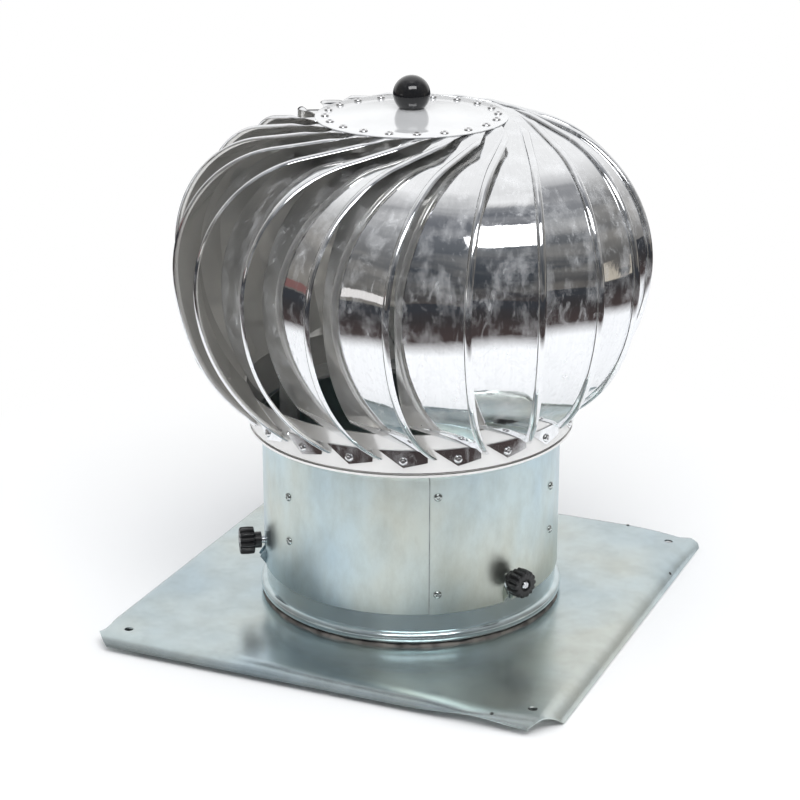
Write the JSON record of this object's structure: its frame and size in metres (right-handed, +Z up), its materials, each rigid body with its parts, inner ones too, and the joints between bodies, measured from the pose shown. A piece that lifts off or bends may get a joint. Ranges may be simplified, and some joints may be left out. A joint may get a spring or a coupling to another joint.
{
  "type": "rotating chimney cowl",
  "caption": "Turbine chimney cowl: shingled curved steel vanes spin on a fixed axle above a clamped sleeve and a square folded base plate, drawing flue gas upward.",
  "frame": {"origin": "on the ground under the middle of the square base plate", "axes": "+Z up along the turbine's axle, X and Y along the base plate's sides"},
  "size_m": [0.32, 0.32, 0.3635],
  "materials": {
    "polished_steel": "mirror polished with fine vertical scratches",
    "ring_steel": "polished",
    "disc_steel": "bright brushed",
    "galvanised_sheet": "galvanised sheet, pale and faintly iridescent",
    "bracket_steel": "galvanised strip",
    "rivet_metal": "bright",
    "turned_steel": "turned",
    "housing_metal": "cast and turned",
    "cage_brass": "satin",
    "ball_plastic": "polished black",
    "knob_plastic": "satin black",
    "sealant": "dull"
  },
  "bodies": {
    "base": {"base_plate": "galvanised_sheet", "base_stub": "galvanised_sheet", "stub_seal": "sealant", "screw_insert_1": "turned_steel", "screw_insert_2": "turned_steel", "screw_insert_3": "turned_steel", "sleeve": "galvanised_sheet", "seam_rivets": "rivet_metal", "arm_rivets": "rivet_metal", "hub_plate": "bracket_steel", "hub_rivets": "rivet_metal", "axle": "turned_steel", "axle_nut": "turned_steel", "axle_washer": "turned_steel", "axle_clip": "turned_steel", "bearing_spacer": "turned_steel", "upper_bearing_inner": "turned_steel", "lower_bearing_inner": "turned_steel", "bracket_arm_1": "bracket_steel", "bracket_arm_2": "bracket_steel", "bracket_arm_3": "bracket_steel"},
    "turbine": {"bearing_housing": "housing_metal", "housing_clip": "turned_steel", "lower_ring": "ring_steel", "top_disc": "disc_steel", "top_rivets": "rivet_metal", "foot_rivets": "rivet_metal", "ball_knob": "ball_plastic", "knob_stud": "turned_steel", "upper_bearing_outer": "turned_steel", "lower_bearing_outer": "turned_steel", "vane_01": "polished_steel", "vane_02": "polished_steel", "vane_03": "polished_steel", "vane_04": "polished_steel", "vane_05": "polished_steel", "vane_06": "polished_steel", "vane_07": "polished_steel", "vane_08": "polished_steel", "vane_09": "polished_steel", "vane_10": "polished_steel", "vane_11": "polished_steel", "vane_12": "polished_steel", "vane_13": "polished_steel", "vane_14": "polished_steel", "vane_15": "polished_steel", "vane_16": "polished_steel", "vane_17": "polished_steel", "vane_18": "polished_steel", "vane_19": "polished_steel", "vane_20": "polished_steel"},
    "upper_cage": {"upper_bearing_cage": "cage_brass"},
    "lower_cage": {"lower_bearing_cage": "cage_brass"},
    "thumb_screw_1": {"thumb_knob_1": "knob_plastic", "thumb_screw_1": "turned_steel"},
    "thumb_screw_2": {"thumb_knob_2": "knob_plastic", "thumb_screw_2": "turned_steel"},
    "thumb_screw_3": {"thumb_knob_3": "knob_plastic", "thumb_screw_3": "turned_steel"}
  },
  "joints": [
    {"name": "turbine_spin", "type": "hinge", "parent": "base", "child": "turbine", "pos_m": [0, 0, 0.3], "axis": [0, 0, 1], "continuous": true},
    {"name": "upper_cage_roll", "type": "hinge", "parent": "base", "child": "upper_cage", "pos_m": [0, 0, 0.3246], "axis": [0, 0, 1], "continuous": true},
    {"name": "lower_cage_roll", "type": "hinge", "parent": "base", "child": "lower_cage", "pos_m": [0, 0, 0.2806], "axis": [0, 0, 1], "continuous": true},
    {"name": "thumb_screw_1_turn", "type": "hinge", "parent": "base", "child": "thumb_screw_1", "pos_m": [0.09092, -0.04753, 0.0493], "axis": [0.8862, -0.4633, 0], "range_deg": [0, 1080]},
    {"name": "thumb_screw_2_turn", "type": "hinge", "parent": "base", "child": "thumb_screw_2", "pos_m": [-0.0043, 0.10251, 0.0493], "axis": [-0.0419, 0.9991, 0], "range_deg": [0, 1080]},
    {"name": "thumb_screw_3_turn", "type": "hinge", "parent": "base", "child": "thumb_screw_3", "pos_m": [-0.08663, -0.05498, 0.0493], "axis": [-0.8443, -0.5358, 0], "range_deg": [0, 1080]}
  ],
  "couplings": [
    {"joint": "upper_cage_roll", "follows": "turbine_spin", "ratio": 0.5904},
    {"joint": "lower_cage_roll", "follows": "turbine_spin", "ratio": 0.5904}
  ]
}
